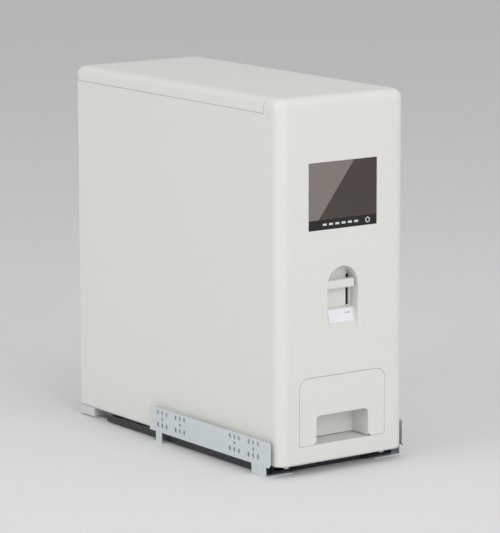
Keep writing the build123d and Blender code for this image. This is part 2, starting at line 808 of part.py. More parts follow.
with BuildPart() as dosing_lever:
    with BuildSketch(Plane.YZ.offset(-lever_bar_length / 2)):
        with Locations((bar_y, bar_z)):
            RectangleRounded(lever_bar_thickness, lever_bar_height, lever_bar_corner)
    extrude(amount=lever_bar_length)
    side_prism(
        [
            (bar_y + arm_up[0], bar_z + arm_up[1]),
            (lever_y + arm_up[0], lever_z + arm_up[1]),
            (lever_y - arm_up[0], lever_z - arm_up[1]),
            (bar_y - arm_up[0], bar_z - arm_up[1]),
        ],
        arm_x,
    )
    rod(hub_radius, (arm_x[0] - hub_overhang, arm_x[1] + hub_overhang), lever_y, lever_z)
    bore_x = (arm_x[0] - hub_overhang - 1, arm_x[1] + hub_overhang + 1)
    rod(shaft_radius + press_clearance, bore_x, lever_y, lever_z, Mode.SUBTRACT)
dosing_lever.part.label = "dosing_lever"
export_step(dosing_lever.part, "parts/dosing_lever.step")

# The spring's coil lies round the lever shaft, and its legs leave it in line with the wire.
spring_wire = 0.8
spring_radius = shaft_radius + 2.2
spring_pitch = 2.4
spring_turns = 4.25
spring_leg = 16.0
spring_height = spring_pitch * spring_turns
spring_x = arm_x[0] - 5.8 - spring_height - spring_wire

with BuildPart() as return_spring:
    with BuildLine() as coil:
        coil_foot = (spring_x, lever_y, lever_z)
        Helix(spring_pitch, spring_height, spring_radius, center=coil_foot, direction=(1, 0, 0))
    coil_start = Plane(coil.line @ 0, z_dir=coil.line % 0)
    coil_end = Plane(coil.line @ 1, z_dir=coil.line % 1)
    with BuildSketch(coil_start) as wire_section:
        Circle(spring_wire)
    sweep(wire_section.sketch, path=coil.line, is_frenet=True)
    with BuildSketch(coil_start) as first_leg:
        Circle(spring_wire)
    extrude(first_leg.sketch, amount=-spring_leg)
    with BuildSketch(coil_end) as second_leg:
        Circle(spring_wire)
    extrude(second_leg.sketch, amount=spring_leg)
return_spring.part.label = "return_spring"
export_step(return_spring.part, "parts/return_spring.step")

# The label plate lies on the recess's ramp.
ramp_rise = ledge_level - recess_bottom
ramp_lean = atan2(ledge_depth, ramp_rise)
label_centre_z = floor_gap + label_level
label_centre_y = front_y + ledge_depth * (label_level - recess_bottom) / ramp_rise
ramp_normal = (0, -cos(ramp_lean), sin(ramp_lean))

with BuildPart() as dose_label:
    with BuildSketch(Plane((0, label_centre_y, label_centre_z), x_dir=(1, 0, 0), z_dir=ramp_normal)):
        RectangleRounded(label_width, label_height, label_corner)
    extrude(amount=label_thickness)
dose_label.part.label = "dose_label"
export_step(dose_label.part, "parts/dose_label.step")

# ---------------------------------------------------------------- metering drum


def drum_point(radius, angle):
    """A point at an angle in degrees from straight up, turning towards the rear."""
    return (drum_y + radius * sin(radians(angle)), drum_z + radius * cos(radians(angle)))


def wedge(radius, start, stop, x_span, mode):
    """A pie piece about the drum's axis, between two angles."""
    arc = [drum_point(radius, start + (stop - start) * step / 8) for step in range(9)]
    side_prism([(drum_y, drum_z), *arc], x_span, mode)


pocket = (-20.0, 70.0)
with BuildPart() as drum_pocket:
    pocket_x = (-drum_length / 2 + drum_end, drum_length / 2 - drum_end)
    wedge(drum_radius * 1.2, pocket[0], pocket[1], pocket_x, Mode.ADD)
    rod(shaft_radius + 6.0, pocket_x, drum_y, drum_z, Mode.SUBTRACT)

with BuildPart() as metering_drum:
    drum_x = (-drum_length / 2, drum_length / 2)
    rod(drum_radius, drum_x, drum_y, drum_z)
    add(drum_pocket.part, mode=Mode.SUBTRACT)
    rod(shaft_radius + press_clearance, drum_x, drum_y, drum_z, Mode.SUBTRACT)
metering_drum.part.label = "metering_drum"
export_step(metering_drum.part, "parts/metering_drum.step")

housing_end_x = drum_length / 2 + housing_side_gap
inlet_half = outlet_width / 2 - 2.0
outlet_angle = (96.0, 172.0)
spout_y = (drum_point(bore_radius, outlet_angle[1])[0], drum_point(bore_radius, outlet_angle[0])[0])
spout_z = drum_z - housing_radius
chute_z = (tray_z[1] + 3.0, spout_z)

with BuildPart() as drum_housing:
    whole_x = (-housing_x, housing_x)
    hollow_x = (-housing_end_x, housing_end_x)
    rod(housing_radius, whole_x, drum_y, drum_z)
    neck_y = (outlet_y[0] - 3, outlet_y[1] + 3)
    slab(whole_x, neck_y, (drum_z + 10, outlet_z))
    slab(whole_x, (spout_y[0] - housing_wall, spout_y[1] + housing_wall), (spout_z, drum_z))
    rod(bore_radius, hollow_x, drum_y, drum_z, Mode.SUBTRACT)
    inlet_y = (drum_y - inlet_half, drum_y + inlet_half)
    slab((-outlet_x + 2, outlet_x - 2), inlet_y, (drum_z, outlet_z + 1), Mode.SUBTRACT)
    slab((-outlet_x, outlet_x), spout_y, (spout_z - 1, drum_z - 3), Mode.SUBTRACT)
    rod(shaft_radius + 1.0, (-housing_x - 1, housing_x + 1), drum_y, drum_z, Mode.SUBTRACT)
drum_housing.part.label = "drum_housing"
export_step(drum_housing.part, "parts/drum_housing.step")

with BuildPart() as outlet_chute:
    chute_y = (spout_y[0] - housing_wall, spout_y[1] + housing_wall)
    slab((-housing_x, housing_x), chute_y, chute_z)
    slab((-outlet_x, outlet_x), spout_y, (chute_z[0] - 1, chute_z[1] + 1), Mode.SUBTRACT)
    slab(
        (-housing_x, housing_x),
        (chute_y[0] - 10, chute_y[0]),
        (chute_z[1] - 2, chute_z[1]),
    )
outlet_chute.part.label = "outlet_chute"
export_step(outlet_chute.part, "parts/outlet_chute.step")

# ---------------------------------------------------------------- drawer

grip_z = (sill_z + drawer_gap, sill_z + grip_height)
pocket_top = grip_z[1] + grip_undercut
pocket_wall_x = (grip_width / 2, grip_width / 2 + grip_wall)
drawer_screw_z = pocket_top - drawer_screw_drop
drawer_face = (front_y, front_y + panel_thickness)

with BuildPart() as drawer_front:
    with BuildSketch(Plane.XZ.offset(-drawer_face[1])) as panel:
        with Locations((0, drawer_z[0])):
            Rectangle(drawer_width, length(drawer_z), align=(Align.CENTER, Align.MIN))
        fillet(panel.vertices().group_by(Axis.Y)[-1], drawer_corner)
        with Locations((0, middle((drawer_z[0], grip_z[1])))):
            Rectangle(grip_width, grip_z[1] - drawer_z[0], mode=Mode.SUBTRACT)
        inner = panel.vertices().filter_by(lambda v: abs(abs(v.X) - grip_width / 2) < 0.01)
        fillet(inner.group_by(Axis.Y)[-1], grip_corner)
        inner = panel.vertices().filter_by(lambda v: abs(abs(v.X) - grip_width / 2) < 0.01)
        fillet(inner.group_by(Axis.Y)[0], leg_corner)
    extrude(amount=panel_thickness)
    # the grip's pocket, open at its foot, with an undercut behind the panel for the finger tips
    foot_z = sill_z + 1.0
    box_half, pocket_half = pocket_wall_x[1], pocket_wall_x[0]
    slab((-box_half, box_half), (drawer_face[1], grip_back + grip_wall), (foot_z, pocket_top + grip_wall))
    pocket_z = (foot_z - 1, pocket_top)
    slab((-pocket_half, pocket_half), (drawer_face[1], grip_back), pocket_z, Mode.SUBTRACT)
    for side in (-1, 1):
        screw_way = (grip_back - 1, grip_back + 3)
        stud(clear_hole, side * drawer_screw_reach, screw_way, drawer_screw_z, Mode.SUBTRACT)
drawer_front.part.label = "drawer_front"
export_step(drawer_front.part, "parts/drawer_front.step")

with BuildPart() as drawer_tray:
    tray_half = tray_width / 2
    slab((-tray_half, tray_half), tray_y, tray_z)
    slab(
        (-tray_half + tray_wall, tray_half - tray_wall),
        (tray_y[0] + tray_wall, tray_y[1] - tray_wall),
        (tray_z[0] + tray_wall, tray_z[1] + 1),
        Mode.SUBTRACT,
    )
    for side in (-1, 1):
        screw_way = (tray_y[0] - 1, tray_y[0] + tray_wall + 1)
        stud(tapped_hole, side * drawer_screw_reach, screw_way, drawer_screw_z, Mode.SUBTRACT)
drawer_tray.part.label = "drawer_tray"
export_step(drawer_tray.part, "parts/drawer_tray.step")

with BuildPart() as drawer_screws:
    for side in (-1, 1):
        head = (grip_back - screw_head, grip_back)
        stud(screw_head_radius, side * drawer_screw_reach, head, drawer_screw_z)
        shank = (grip_back, tray_y[0] + tray_wall + 1)
        stud(screw_radius, side * drawer_screw_reach, shank, drawer_screw_z)
drawer_screws.part.label = "drawer_screws"
export_step(drawer_screws.part, "parts/drawer_screws.step")

with BuildPart() as drawer_guide:
    guide_y = (grip_back + 8, tray_y[1] + 6)
    web_x = (plate_x[0] - 2.3, plate_x[0] - 0.3)
    slab(web_x, guide_y, (base_z[1], tray_z[0] + 22))
    runner_top = tray_z[0] - guide_clearance
    slab((tray_width / 2 - 8, web_x[1]), guide_y, (runner_top - 2, runner_top))
    slab((web_x[0] - 8, web_x[1]), guide_y, (base_z[1], base_z[1] + 2))
write_pair("drawer_guide", drawer_guide)

# ---------------------------------------------------------------- base plate and runners

with BuildPart() as base_plate:
    with BuildSketch(Plane.XY.offset(base_z[0])) as plan:
        Rectangle(body_width - 1, body_depth - 1)
        fillet(plan.vertices().group_by(Axis.Y)[0], front_corner - 0.5)
        fillet(plan.vertices().group_by(Axis.Y)[-1], rear_corner - 0.5)
    extrude(amount=length(base_z))
    for side in (-1, 1):
        hole_z = (base_z[0] - 1, base_z[1] + 1)
        for row in boss_rows:
            post(clear_hole, side * boss_x, row, hole_z, Mode.SUBTRACT)
        for row in plate_screw_rows:
            post(tapped_hole, side * middle(tab_x), row, hole_z, Mode.SUBTRACT)
base_plate.part.label = "base_plate"
export_step(base_plate.part, "parts/base_plate.step")

with BuildPart() as base_screws:
    for side in (-1, 1):
        for row in boss_rows:
            post(screw_head_radius, side * boss_x, row, (base_z[0] - screw_head, base_z[0]))
            post(screw_radius, side * boss_x, row, (base_z[0], floor_gap + boss_hole_depth - 2))
base_screws.part.label = "base_screws"
export_step(base_screws.part, "parts/base_screws.step")

race = 2 * (ball_radius + ball_gap)
outer_z = (sheet, sheet + rail_height)
middle_half = rail_half_width - rail_sheet - race
inner_half = middle_half - rail_sheet - race
middle_z = (outer_z[0] + rail_sheet + 0.6, outer_z[1] + 0.4)
inner_z = (outer_z[0] + 4.4, base_z[0])
ball_levels = (outer_z[0] + 6.2, outer_z[0] + 6.8)


def channel(half, y_span, z_span, open_up):
    """A rail folded from sheet into a channel, with its web below or above."""
    slab((rail_x - half, rail_x + half), y_span, z_span)
    if open_up:
        hollow_z = (z_span[0] + rail_sheet, z_span[1] + 1)
    else:
        hollow_z = (z_span[0] - 1, z_span[1] - rail_sheet)
    hollow_half = half - rail_sheet
    hollow_y = (y_span[0] - 1, y_span[1] + 1)
    slab((rail_x - hollow_half, rail_x + hollow_half), hollow_y, hollow_z, Mode.SUBTRACT)


front_foot_y = (front_y + front_foot[0], front_y + front_foot[1])
rear_foot_y = (front_y + rear_foot[0], front_y + rear_foot[1])
foot_flange_y = (front_foot_y, (rear_foot_y[0] + 2, rear_foot_y[1] + 10))
cross_plate_y = (rail_y[1] - 24, rear_y - 4)
foot_flange_x = rail_x - 10.0
tie_x = foot_flange_x - tie_end_gap
tie_y = (rail_y[0] + tie_inset, rail_y[0] + tie_inset + tie_width)
rivet_radius = 2.5
rivet_places = (
    (tie_x - 5.0, middle(tie_y)),
    (rail_x, middle(foot_flange_y[0])),
    (rail_x, middle(foot_flange_y[1])),
    (rail_x, rail_y[1] - 12.0),
)
rivet_hole = rivet_radius + press_clearance

with BuildPart() as outer_rail:
    channel(rail_half_width, rail_y, outer_z, True)
    for x, row in rivet_places:
        post(rivet_hole, x, row, (0, outer_z[0] + rail_sheet + 1), Mode.SUBTRACT)
write_pair("outer_rail", outer_rail)

middle_y = (rail_y[0], rail_y[1] - 12)
with BuildPart() as middle_rail:
    channel(middle_half, middle_y, middle_z, True)
write_pair("middle_rail", middle_rail)

inner_y = (rail_y[0] + 2, rail_y[1] - 14)
with BuildPart() as inner_rail:
    channel(inner_half, inner_y, inner_z, False)
write_pair("inner_rail", inner_rail)

race_offsets = (
    (rail_half_width - rail_sheet - race / 2, ball_levels[0]),
    (middle_half - rail_sheet - race / 2, ball_levels[1]),
)
retainer_y = (middle_y[0] + 20, middle_y[1] - 20)
ball_step = length(retainer_y) / balls_per_row
ball_rows = [retainer_y[0] + ball_step * (count + 0.5) for count in range(balls_per_row)]
race_places = []
for side in (-1, 1):
    for reach, level in race_offsets:
        race_places.append((side * rail_x - reach, level))
        race_places.append((side * rail_x + reach, level))

with BuildPart() as ball_retainers:
    for x, level in race_places:
        slab((x - 0.5, x + 0.5), retainer_y, (level - 2.3, level + 2.3))
        for row in ball_rows:
            rod(ball_radius + ball_gap, (x - 1, x + 1), row, level, Mode.SUBTRACT)
ball_retainers.part.label = "ball_retainers"
export_step(ball_retainers.part, "parts/ball_retainers.step")

with BuildPart() as bearing_balls:
    for x, level in race_places:
        for row in ball_rows:
            with Locations((x, row, level)):
                Sphere(ball_radius)
bearing_balls.part.label = "bearing_balls"
export_step(bearing_balls.part, "parts/bearing_balls.step")

with BuildPart() as rail_clips:
    for x_span in both((rail_x - clip_width / 2, rail_x + clip_width / 2)):
        clip_y = (rail_y[0] - clip_setback - clip_length, rail_y[0] - clip_setback)
        slab(x_span, clip_y, (base_z[0] - clip_height, base_z[0]))
        catch_y = (clip_y[0] - 1, clip_y[0] + 1)
        catch_z = (base_z[0] - clip_height + 2, base_z[0] - 3)
        slab((x_span[0] + 1.5, x_span[1] - 1.5), catch_y, catch_z, Mode.SUBTRACT)
rail_clips.part.label = "rail_clips"
export_step(rail_clips.part, "parts/rail_clips.step")

# ---------------------------------------------------------------- fixed frame

with BuildPart() as front_tie_bar:
    slab((-tie_x, tie_x), tie_y, (0, sheet))
    # the upright flange stops short of the rails, which slide out past it
    upright = rail_x - rail_half_width - tie_end_gap
    slab((-upright, upright), (tie_y[0], tie_y[0] + rail_sheet), (0, outer_z[1]))
    for side in (-1, 1):
        post(rivet_hole, side * rivet_places[0][0], rivet_places[0][1], (-1, sheet + 1), Mode.SUBTRACT)
front_tie_bar.part.label = "front_tie_bar"
export_step(front_tie_bar.part, "parts/front_tie_bar.step")

foot_x = (side_x - foot_width, side_x)
foot_y = (rear_y - foot_length, rear_y)
tongue_half = side_x - 4.0

with BuildPart() as rear_cross_plate:
    slab((-rail_x - 16, rail_x + 16), (cross_plate_y[0], foot_y[0] - 3), (0, sheet))
    slab((-tongue_half, tongue_half), (foot_y[0] - 3, cross_plate_y[1]), (0, sheet))
    for side in (-1, 1):
        post(rivet_hole, side * rivet_places[3][0], rivet_places[3][1], (-1, sheet + 1), Mode.SUBTRACT)
rear_cross_plate.part.label = "rear_cross_plate"
export_step(rear_cross_plate.part, "parts/rear_cross_plate.step")

# The feet stand on the cross plate and keep the body's rear corners off the floor.
with BuildPart() as rear_foot_block:
    slab(foot_x, foot_y, (sheet, base_z[0] - foot_gap))
    fillet(rear_foot_block.edges().filter_by(Axis.Z), foot_corner)
write_pair("rear_foot", rear_foot_block)

with BuildPart() as rail_end_stops:
    for side in (-1, 1):
        stop_half = rail_half_width - rail_sheet - stop_gap
        stop_x = (side * rail_x - stop_half, side * rail_x + stop_half)
        slab(stop_x, (rail_y[1] - 6, rail_y[1] + 2), (outer_z[0] + rail_sheet, outer_z[1]))
rail_end_stops.part.label = "rail_end_stops"
export_step(rail_end_stops.part, "parts/rail_end_stops.step")

with BuildPart() as side_bracket:
    plate_span = (bracket_x - sheet, bracket_x)
    bracket_y = (front_y + bracket_front, front_y + bracket_rear)
    with BuildSketch(Plane.YZ.offset(plate_span[0])) as plate_view:
        with Locations((middle(bracket_y), middle((bracket_bottom, bracket_top)))):
            Rectangle(length(bracket_y), bracket_top - bracket_bottom)
        fillet(plate_view.vertices().group_by(Axis.Y)[-1], bracket_corner)
    extrude(amount=sheet)
    for span, foot in ((front_foot_y, foot_flange_y[0]), (rear_foot_y, foot_flange_y[1])):
        slab(plate_span, span, (0, bracket_bottom + bracket_corner))
        slab((foot_flange_x, plate_span[1]), foot, (0, sheet))
    for centre in hole_group_centres:
        middle_row = front_y + centre
        with BuildSketch(Plane.YZ.offset(plate_span[0])) as group:
            for level in slot_rows:
                with Locations(*[(middle_row + step * hole_pitch, level) for step in (-1, 0, 1)]):
                    SlotOverall(slot_length, slot_width, rotation=90)
        extrude(amount=sheet, mode=Mode.SUBTRACT)
        rod(pilot_radius, plate_span, middle_row, pilot_level, Mode.SUBTRACT)
    # a small return at the front edge stiffens the plate
    return_z = (bracket_bottom + bracket_corner, bracket_top - bracket_corner)
    slab((plate_span[0] - bracket_return, plate_span[0]), (bracket_y[0], bracket_y[0] + sheet), return_z)
    for x, row in rivet_places[1:3]:
        post(rivet_hole, x, row, (-1, sheet + 1), Mode.SUBTRACT)
write_pair("side_bracket", side_bracket)

with BuildPart() as frame_rivets:
    for side in (-1, 1):
        for x, row in rivet_places:
            post(rivet_radius, side * x, row, (0.2, outer_z[0] + rail_sheet))
frame_rivets.part.label = "frame_rivets"
export_step(frame_rivets.part, "parts/frame_rivets.step")
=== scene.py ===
import json
from math import pi, radians

import bmesh
import bpy
from mathutils import Matrix, Vector

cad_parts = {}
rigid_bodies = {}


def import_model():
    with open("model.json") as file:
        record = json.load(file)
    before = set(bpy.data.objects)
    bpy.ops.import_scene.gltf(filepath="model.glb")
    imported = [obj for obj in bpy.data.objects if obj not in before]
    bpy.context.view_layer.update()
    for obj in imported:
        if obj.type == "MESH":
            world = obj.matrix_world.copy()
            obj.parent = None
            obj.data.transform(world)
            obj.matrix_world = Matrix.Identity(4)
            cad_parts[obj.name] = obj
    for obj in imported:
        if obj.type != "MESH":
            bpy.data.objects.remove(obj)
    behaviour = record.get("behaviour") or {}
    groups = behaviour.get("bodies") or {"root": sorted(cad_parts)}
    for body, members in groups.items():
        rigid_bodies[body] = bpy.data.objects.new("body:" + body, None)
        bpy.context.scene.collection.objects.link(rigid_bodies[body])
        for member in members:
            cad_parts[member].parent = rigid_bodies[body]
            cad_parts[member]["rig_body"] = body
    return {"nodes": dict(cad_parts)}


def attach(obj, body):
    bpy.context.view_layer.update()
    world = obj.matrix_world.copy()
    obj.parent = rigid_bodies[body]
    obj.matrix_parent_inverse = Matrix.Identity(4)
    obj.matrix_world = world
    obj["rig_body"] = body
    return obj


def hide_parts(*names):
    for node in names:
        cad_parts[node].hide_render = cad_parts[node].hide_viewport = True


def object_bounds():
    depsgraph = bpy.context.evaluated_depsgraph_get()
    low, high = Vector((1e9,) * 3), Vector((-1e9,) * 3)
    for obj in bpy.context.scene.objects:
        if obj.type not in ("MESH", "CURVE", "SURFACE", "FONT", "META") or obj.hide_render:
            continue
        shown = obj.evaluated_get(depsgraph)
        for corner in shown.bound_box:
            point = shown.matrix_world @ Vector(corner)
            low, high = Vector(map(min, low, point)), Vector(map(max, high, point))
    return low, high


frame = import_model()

cad_low, cad_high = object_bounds()
nodes = frame["nodes"]

# ------------------------------------------------------------------ studio
# A pale matt floor, a grey room and three large soft lamps. The camera looks down a little on the front
# left corner, from far off with a long lens, so that the upright edges stay nearly upright.
camera_azimuth = radians(-35.48)
camera_elevation = radians(10.26)
camera_roll = radians(-0.14)
camera_place = Vector((-2.3558, -3.3356, 0.9652))

lens = bpy.data.cameras.new("camera")
lens.lens = 214.5
lens.sensor_width = 36.0
lens.clip_end = 100.0
camera = bpy.data.objects.new("camera", lens)
bpy.context.scene.collection.objects.link(camera)
aim = Matrix.Rotation(camera_azimuth, 4, "Z") @ Matrix.Rotation(pi / 2 - camera_elevation, 4, "X")
camera.matrix_world = Matrix.Translation(camera_place) @ aim @ Matrix.Rotation(camera_roll, 4, "Z")
bpy.context.scene.camera = camera
bpy.context.scene.view_settings.view_transform = "Standard"


def new_material(name):
    """A material with an empty node tree but for its shader and output."""
    material = bpy.data.materials.new(name)
    material.use_nodes = True
    return material, material.node_tree, material.node_tree.nodes["Principled BSDF"]


def add_node(tree, kind, **settings):
    """A shader node with its settings; a number in the name picks an input by its place."""
    node = tree.nodes.new("ShaderNode" + kind)
    for key, value in settings.items():
        if key.startswith("in_"):
            name = key[3:]
            socket = node.inputs[int(name)] if name.isdigit() else node.inputs[name.replace("_", " ")]
            socket.default_value = value
        else:
            setattr(node, key, value)
    return node


bpy.ops.mesh.primitive_circle_add(vertices=96, radius=30.0, fill_type="NGON")
floor = bpy.context.object
floor.name = "studio_floor"
paper, tree, shader = new_material("floor_paper")
shader.inputs["Base Color"].default_value = (0.80, 0.795, 0.80, 1)
shader.inputs["Roughness"].default_value = 0.9
shader.inputs["Specular IOR Level"].default_value = 0.2
floor.data.materials.append(paper)

world = bpy.data.worlds.new("grey_room")
world.use_nodes = True
world.node_tree.nodes["Background"].inputs["Color"].default_value = (0.56, 0.56, 0.56, 1)
bpy.context.scene.world = world

# name, azimuth, elevation, distance, width, strength
for name, azimuth, elevation, distance, width, strength in (
    ("key_lamp", -8, 22, 3.2, 2.2, 30.0),
    ("side_lamp", -88, 24, 3.2, 2.2, 24.0),
    ("top_lamp", 20, 75, 3.0, 2.6, 12.0),
):
    lamp = bpy.data.lights.new(name, "AREA")
    lamp.size = width
    lamp.energy = strength
    holder = bpy.data.objects.new(name, lamp)
    bpy.context.scene.collection.objects.link(holder)
    turn = Matrix.Rotation(radians(azimuth), 4, "Z") @ Matrix.Rotation(pi / 2 - radians(elevation), 4, "X")
    middle = (cad_low + cad_high) / 2
    holder.matrix_world = Matrix.Translation(middle) @ turn @ Matrix.Translation((0, 0, distance))

# ------------------------------------------------------------------ white mouldings
# The shell, lid, drawer front and lever are injection moulded in one warm white, with a fine satin grain
# that the mould gives them. The grain is too small to see one by one, but it softens every highlight.


def shader_group(name, inputs, outputs):
    """An empty node group with named number inputs, and outputs of the kinds given."""
    group = bpy.data.node_groups.new(name, "ShaderNodeTree")
    for label, start in inputs:
        socket = group.interface.new_socket(label, in_out="INPUT", socket_type="NodeSocketFloat")
        socket.default_value = start
    for label, kind in outputs:
        group.interface.new_socket(label, in_out="OUTPUT", socket_type="NodeSocket" + kind)
    return group, group.nodes.new("NodeGroupInput"), group.nodes.new("NodeGroupOutput")


grain, grain_in, grain_out = shader_group(
    "moulded_grain",
    [("Pitch", 1500.0), ("Height", 0.1), ("Waviness", 0.02)],
    [("Shade", "Float"), ("Gloss", "Float"), ("Normal", "Vector")],
)
place = add_node(grain, "TexCoord")
pits = add_node(grain, "TexNoise", in_Detail=2.0, in_Roughness=0.6)
cloud = add_node(grain, "TexNoise", in_Scale=9.0, in_Detail=3.0, in_Roughness=0.5)
wave = add_node(grain, "TexNoise", in_Scale=26.0, in_Detail=1.0)
rise = add_node(grain, "Bump", in_Distance=0.0002)
sink = add_node(grain, "Bump", in_Distance=0.001)
for texture in (pits, cloud, wave):
    grain.links.new(place.outputs["Object"], texture.inputs["Vector"])
grain.links.new(grain_in.outputs["Pitch"], pits.inputs["Scale"])
grain.links.new(grain_in.outputs["Height"], rise.inputs["Strength"])
grain.links.new(grain_in.outputs["Waviness"], sink.inputs["Strength"])
grain.links.new(pits.outputs["Fac"], rise.inputs["Height"])
grain.links.new(wave.outputs["Fac"], sink.inputs["Height"])
grain.links.new(sink.outputs["Normal"], rise.inputs["Normal"])
grain.links.new(cloud.outputs["Fac"], grain_out.inputs["Shade"])
grain.links.new(pits.outputs["Fac"], grain_out.inputs["Gloss"])
grain.links.new(rise.outputs["Normal"], grain_out.inputs["Normal"])


def moulded(name, dark, light, gloss, pitch=1500.0, height=0.1, waviness=0.02):
    """A moulded plastic or rubber: two close tones in slow clouds, a grain and a gloss that vary."""
    material, tree, shader = new_material(name)
    surface = add_node(tree, "Group", node_tree=grain, in_Pitch=pitch, in_Height=height, in_Waviness=waviness)
    tones = add_node(tree, "Mix", data_type="RGBA", in_6=(*dark, 1), in_7=(*light, 1))
    spread = add_node(tree, "MapRange", in_1=0.3, in_2=0.7, in_3=gloss[0], in_4=gloss[1])
    tree.links.new(surface.outputs["Shade"], tones.inputs[0])
    tree.links.new(tones.outputs[2], shader.inputs["Base Color"])
    tree.links.new(surface.outputs["Gloss"], spread.inputs[0])
    tree.links.new(spread.outputs[0], shader.inputs["Roughness"])
    tree.links.new(surface.outputs["Normal"], shader.inputs["Normal"])
    return material


def give(material, *names):
    """Puts a material on CAD nodes, in place of the one that they came with."""
    for name in names:
        nodes[name].data.materials.clear()
        nodes[name].data.materials.append(material)


def only(piece):
    """Selects one piece and nothing else."""
    bpy.ops.object.select_all(action="DESELECT")
    piece.select_set(True)
    bpy.context.view_layer.objects.active = piece


def smooth(piece, angle=38):
    """Smooth shading between faces that meet at less than an angle, weighted to the large faces."""
    only(piece)
    bpy.ops.object.shade_smooth_by_angle(angle=radians(angle))
    weights = piece.modifiers.new("weights", "WEIGHTED_NORMAL")
    weights.keep_sharp = True
    bpy.ops.object.modifier_apply(modifier=weights.name)


def eased(node, name, edge, material, steps=2):
    """A node's shape with its sharp edges eased, which then stands for the node."""
    piece = bpy.data.objects.new(name, nodes[node].data.copy())
    bpy.context.scene.collection.objects.link(piece)
    only(piece)
    bpy.ops.mesh.customdata_custom_splitnormals_clear()
    bpy.ops.object.mode_set(mode="EDIT")
    bpy.ops.mesh.select_all(action="SELECT")
    bpy.ops.mesh.remove_doubles(threshold=0.000002)
    bpy.ops.mesh.dissolve_limited(angle_limit=radians(0.5))
    bpy.ops.object.mode_set(mode="OBJECT")
    easing = piece.modifiers.new("easing", "BEVEL")
    easing.width = edge
    easing.segments = steps
    easing.limit_method = "ANGLE"
    easing.angle_limit = radians(40)
    easing.use_clamp_overlap = False
    bpy.ops.object.modifier_apply(modifier=easing.name)
    smooth(piece)
    piece.data.materials.clear()
    piece.data.materials.append(material)
    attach(piece, nodes[node]["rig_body"])
    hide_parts(node)
    return piece


white = moulded("white_plastic", (0.755, 0.762, 0.722), (0.775, 0.782, 0.742), (0.40, 0.50))
inner_white = moulded("inner_white_plastic", (0.74, 0.74, 0.71), (0.77, 0.77, 0.74), (0.33, 0.42), 900.0)
nylon = moulded("natural_nylon", (0.78, 0.75, 0.66), (0.84, 0.82, 0.74), (0.42, 0.55), 1100.0)
grey_plastic = moulded("light_grey_plastic", (0.62, 0.64, 0.63), (0.70, 0.71, 0.70), (0.45, 0.58))
rubber = moulded("seal_rubber", (0.05, 0.05, 0.05), (0.09, 0.09, 0.09), (0.62, 0.8), 700.0, 0.3)

eased("body_shell", "outer_shell", 0.0005, white)
eased("lid", "top_lid", 0.0004, white)
eased("drawer_front", "drawer_face", 0.0002, white)
eased("dosing_lever", "push_lever", 0.0004, white)

give(inner_white, "hopper", "drawer_tray", "drum_housing", "outlet_chute", "drawer_guide_left")
give(inner_white, "drawer_guide_right", "rear_cover")
give(nylon, "metering_drum", "drive_sector", "drum_pinion", "lever_bushes", "drum_bushes", "ball_retainers")
give(grey_plastic, "rail_end_stops")
eased("rear_foot_left", "foot_left", 0.0008, grey_plastic)
eased("rear_foot_right", "foot_right", 0.0008, grey_plastic)
eased("rail_clips", "runner_clips", 0.0004, grey_plastic)
give(rubber, "window_gasket", "lid_seal")

# ------------------------------------------------------------------ sheet metal
# The brackets are galvanised sheet, with the faint flakes of the zinc bath. The base plate and the inner
# plates are zinc plated, and the runners are black. Shafts, pins, screws and balls are bright steel.
skin, skin_in, skin_out = shader_group(
    "rolled_sheet",
    [("Flake", 300.0), ("Rolling", 1.0)],
    [("Flakes", "Float"), ("Lines", "Float"), ("Normal", "Vector")],
)
place = add_node(skin, "TexCoord")
flakes = add_node(skin, "TexVoronoi", feature="SMOOTH_F1", in_Smoothness=0.3)
stretch = add_node(skin, "Mapping", in_Scale=(1.0, 0.04, 1.0))
lines = add_node(skin, "TexNoise", in_Scale=2600.0, in_Detail=2.0)
dent = add_node(skin, "Bump", in_Distance=0.00005)
tone = add_node(skin, "SeparateColor")
skin.links.new(place.outputs["Object"], flakes.inputs["Vector"])
skin.links.new(place.outputs["Object"], stretch.inputs["Vector"])
skin.links.new(stretch.outputs["Vector"], lines.inputs["Vector"])
skin.links.new(skin_in.outputs["Flake"], flakes.inputs["Scale"])
skin.links.new(skin_in.outputs["Rolling"], dent.inputs["Strength"])
skin.links.new(flakes.outputs["Color"], tone.inputs[0])
skin.links.new(lines.outputs["Fac"], dent.inputs["Height"])
skin.links.new(tone.outputs[0], skin_out.inputs["Flakes"])
skin.links.new(lines.outputs["Fac"], skin_out.inputs["Lines"])
skin.links.new(dent.outputs["Normal"], skin_out.inputs["Normal"])


def sheet_metal(name, dark, light, gloss, metallic=1.0, flake=300.0, rolling=0.2):
    """Coated or bare steel: flakes of two tones, rolling lines in the gloss, and a slight waviness."""
    material, tree, shader = new_material(name)
    surface = add_node(tree, "Group", node_tree=skin, in_Flake=flake, in_Rolling=rolling)
    tones = add_node(tree, "Mix", data_type="RGBA", in_6=(*dark, 1), in_7=(*light, 1))
    spread = add_node(tree, "MapRange", in_1=0.3, in_2=0.7, in_3=gloss[0], in_4=gloss[1])
    shader.inputs["Metallic"].default_value = metallic
    tree.links.new(surface.outputs["Flakes"], tones.inputs[0])
    tree.links.new(tones.outputs[2], shader.inputs["Base Color"])
    tree.links.new(surface.outputs["Lines"], spread.inputs[0])
    tree.links.new(spread.outputs[0], shader.inputs["Roughness"])
    tree.links.new(surface.outputs["Normal"], shader.inputs["Normal"])
    return material


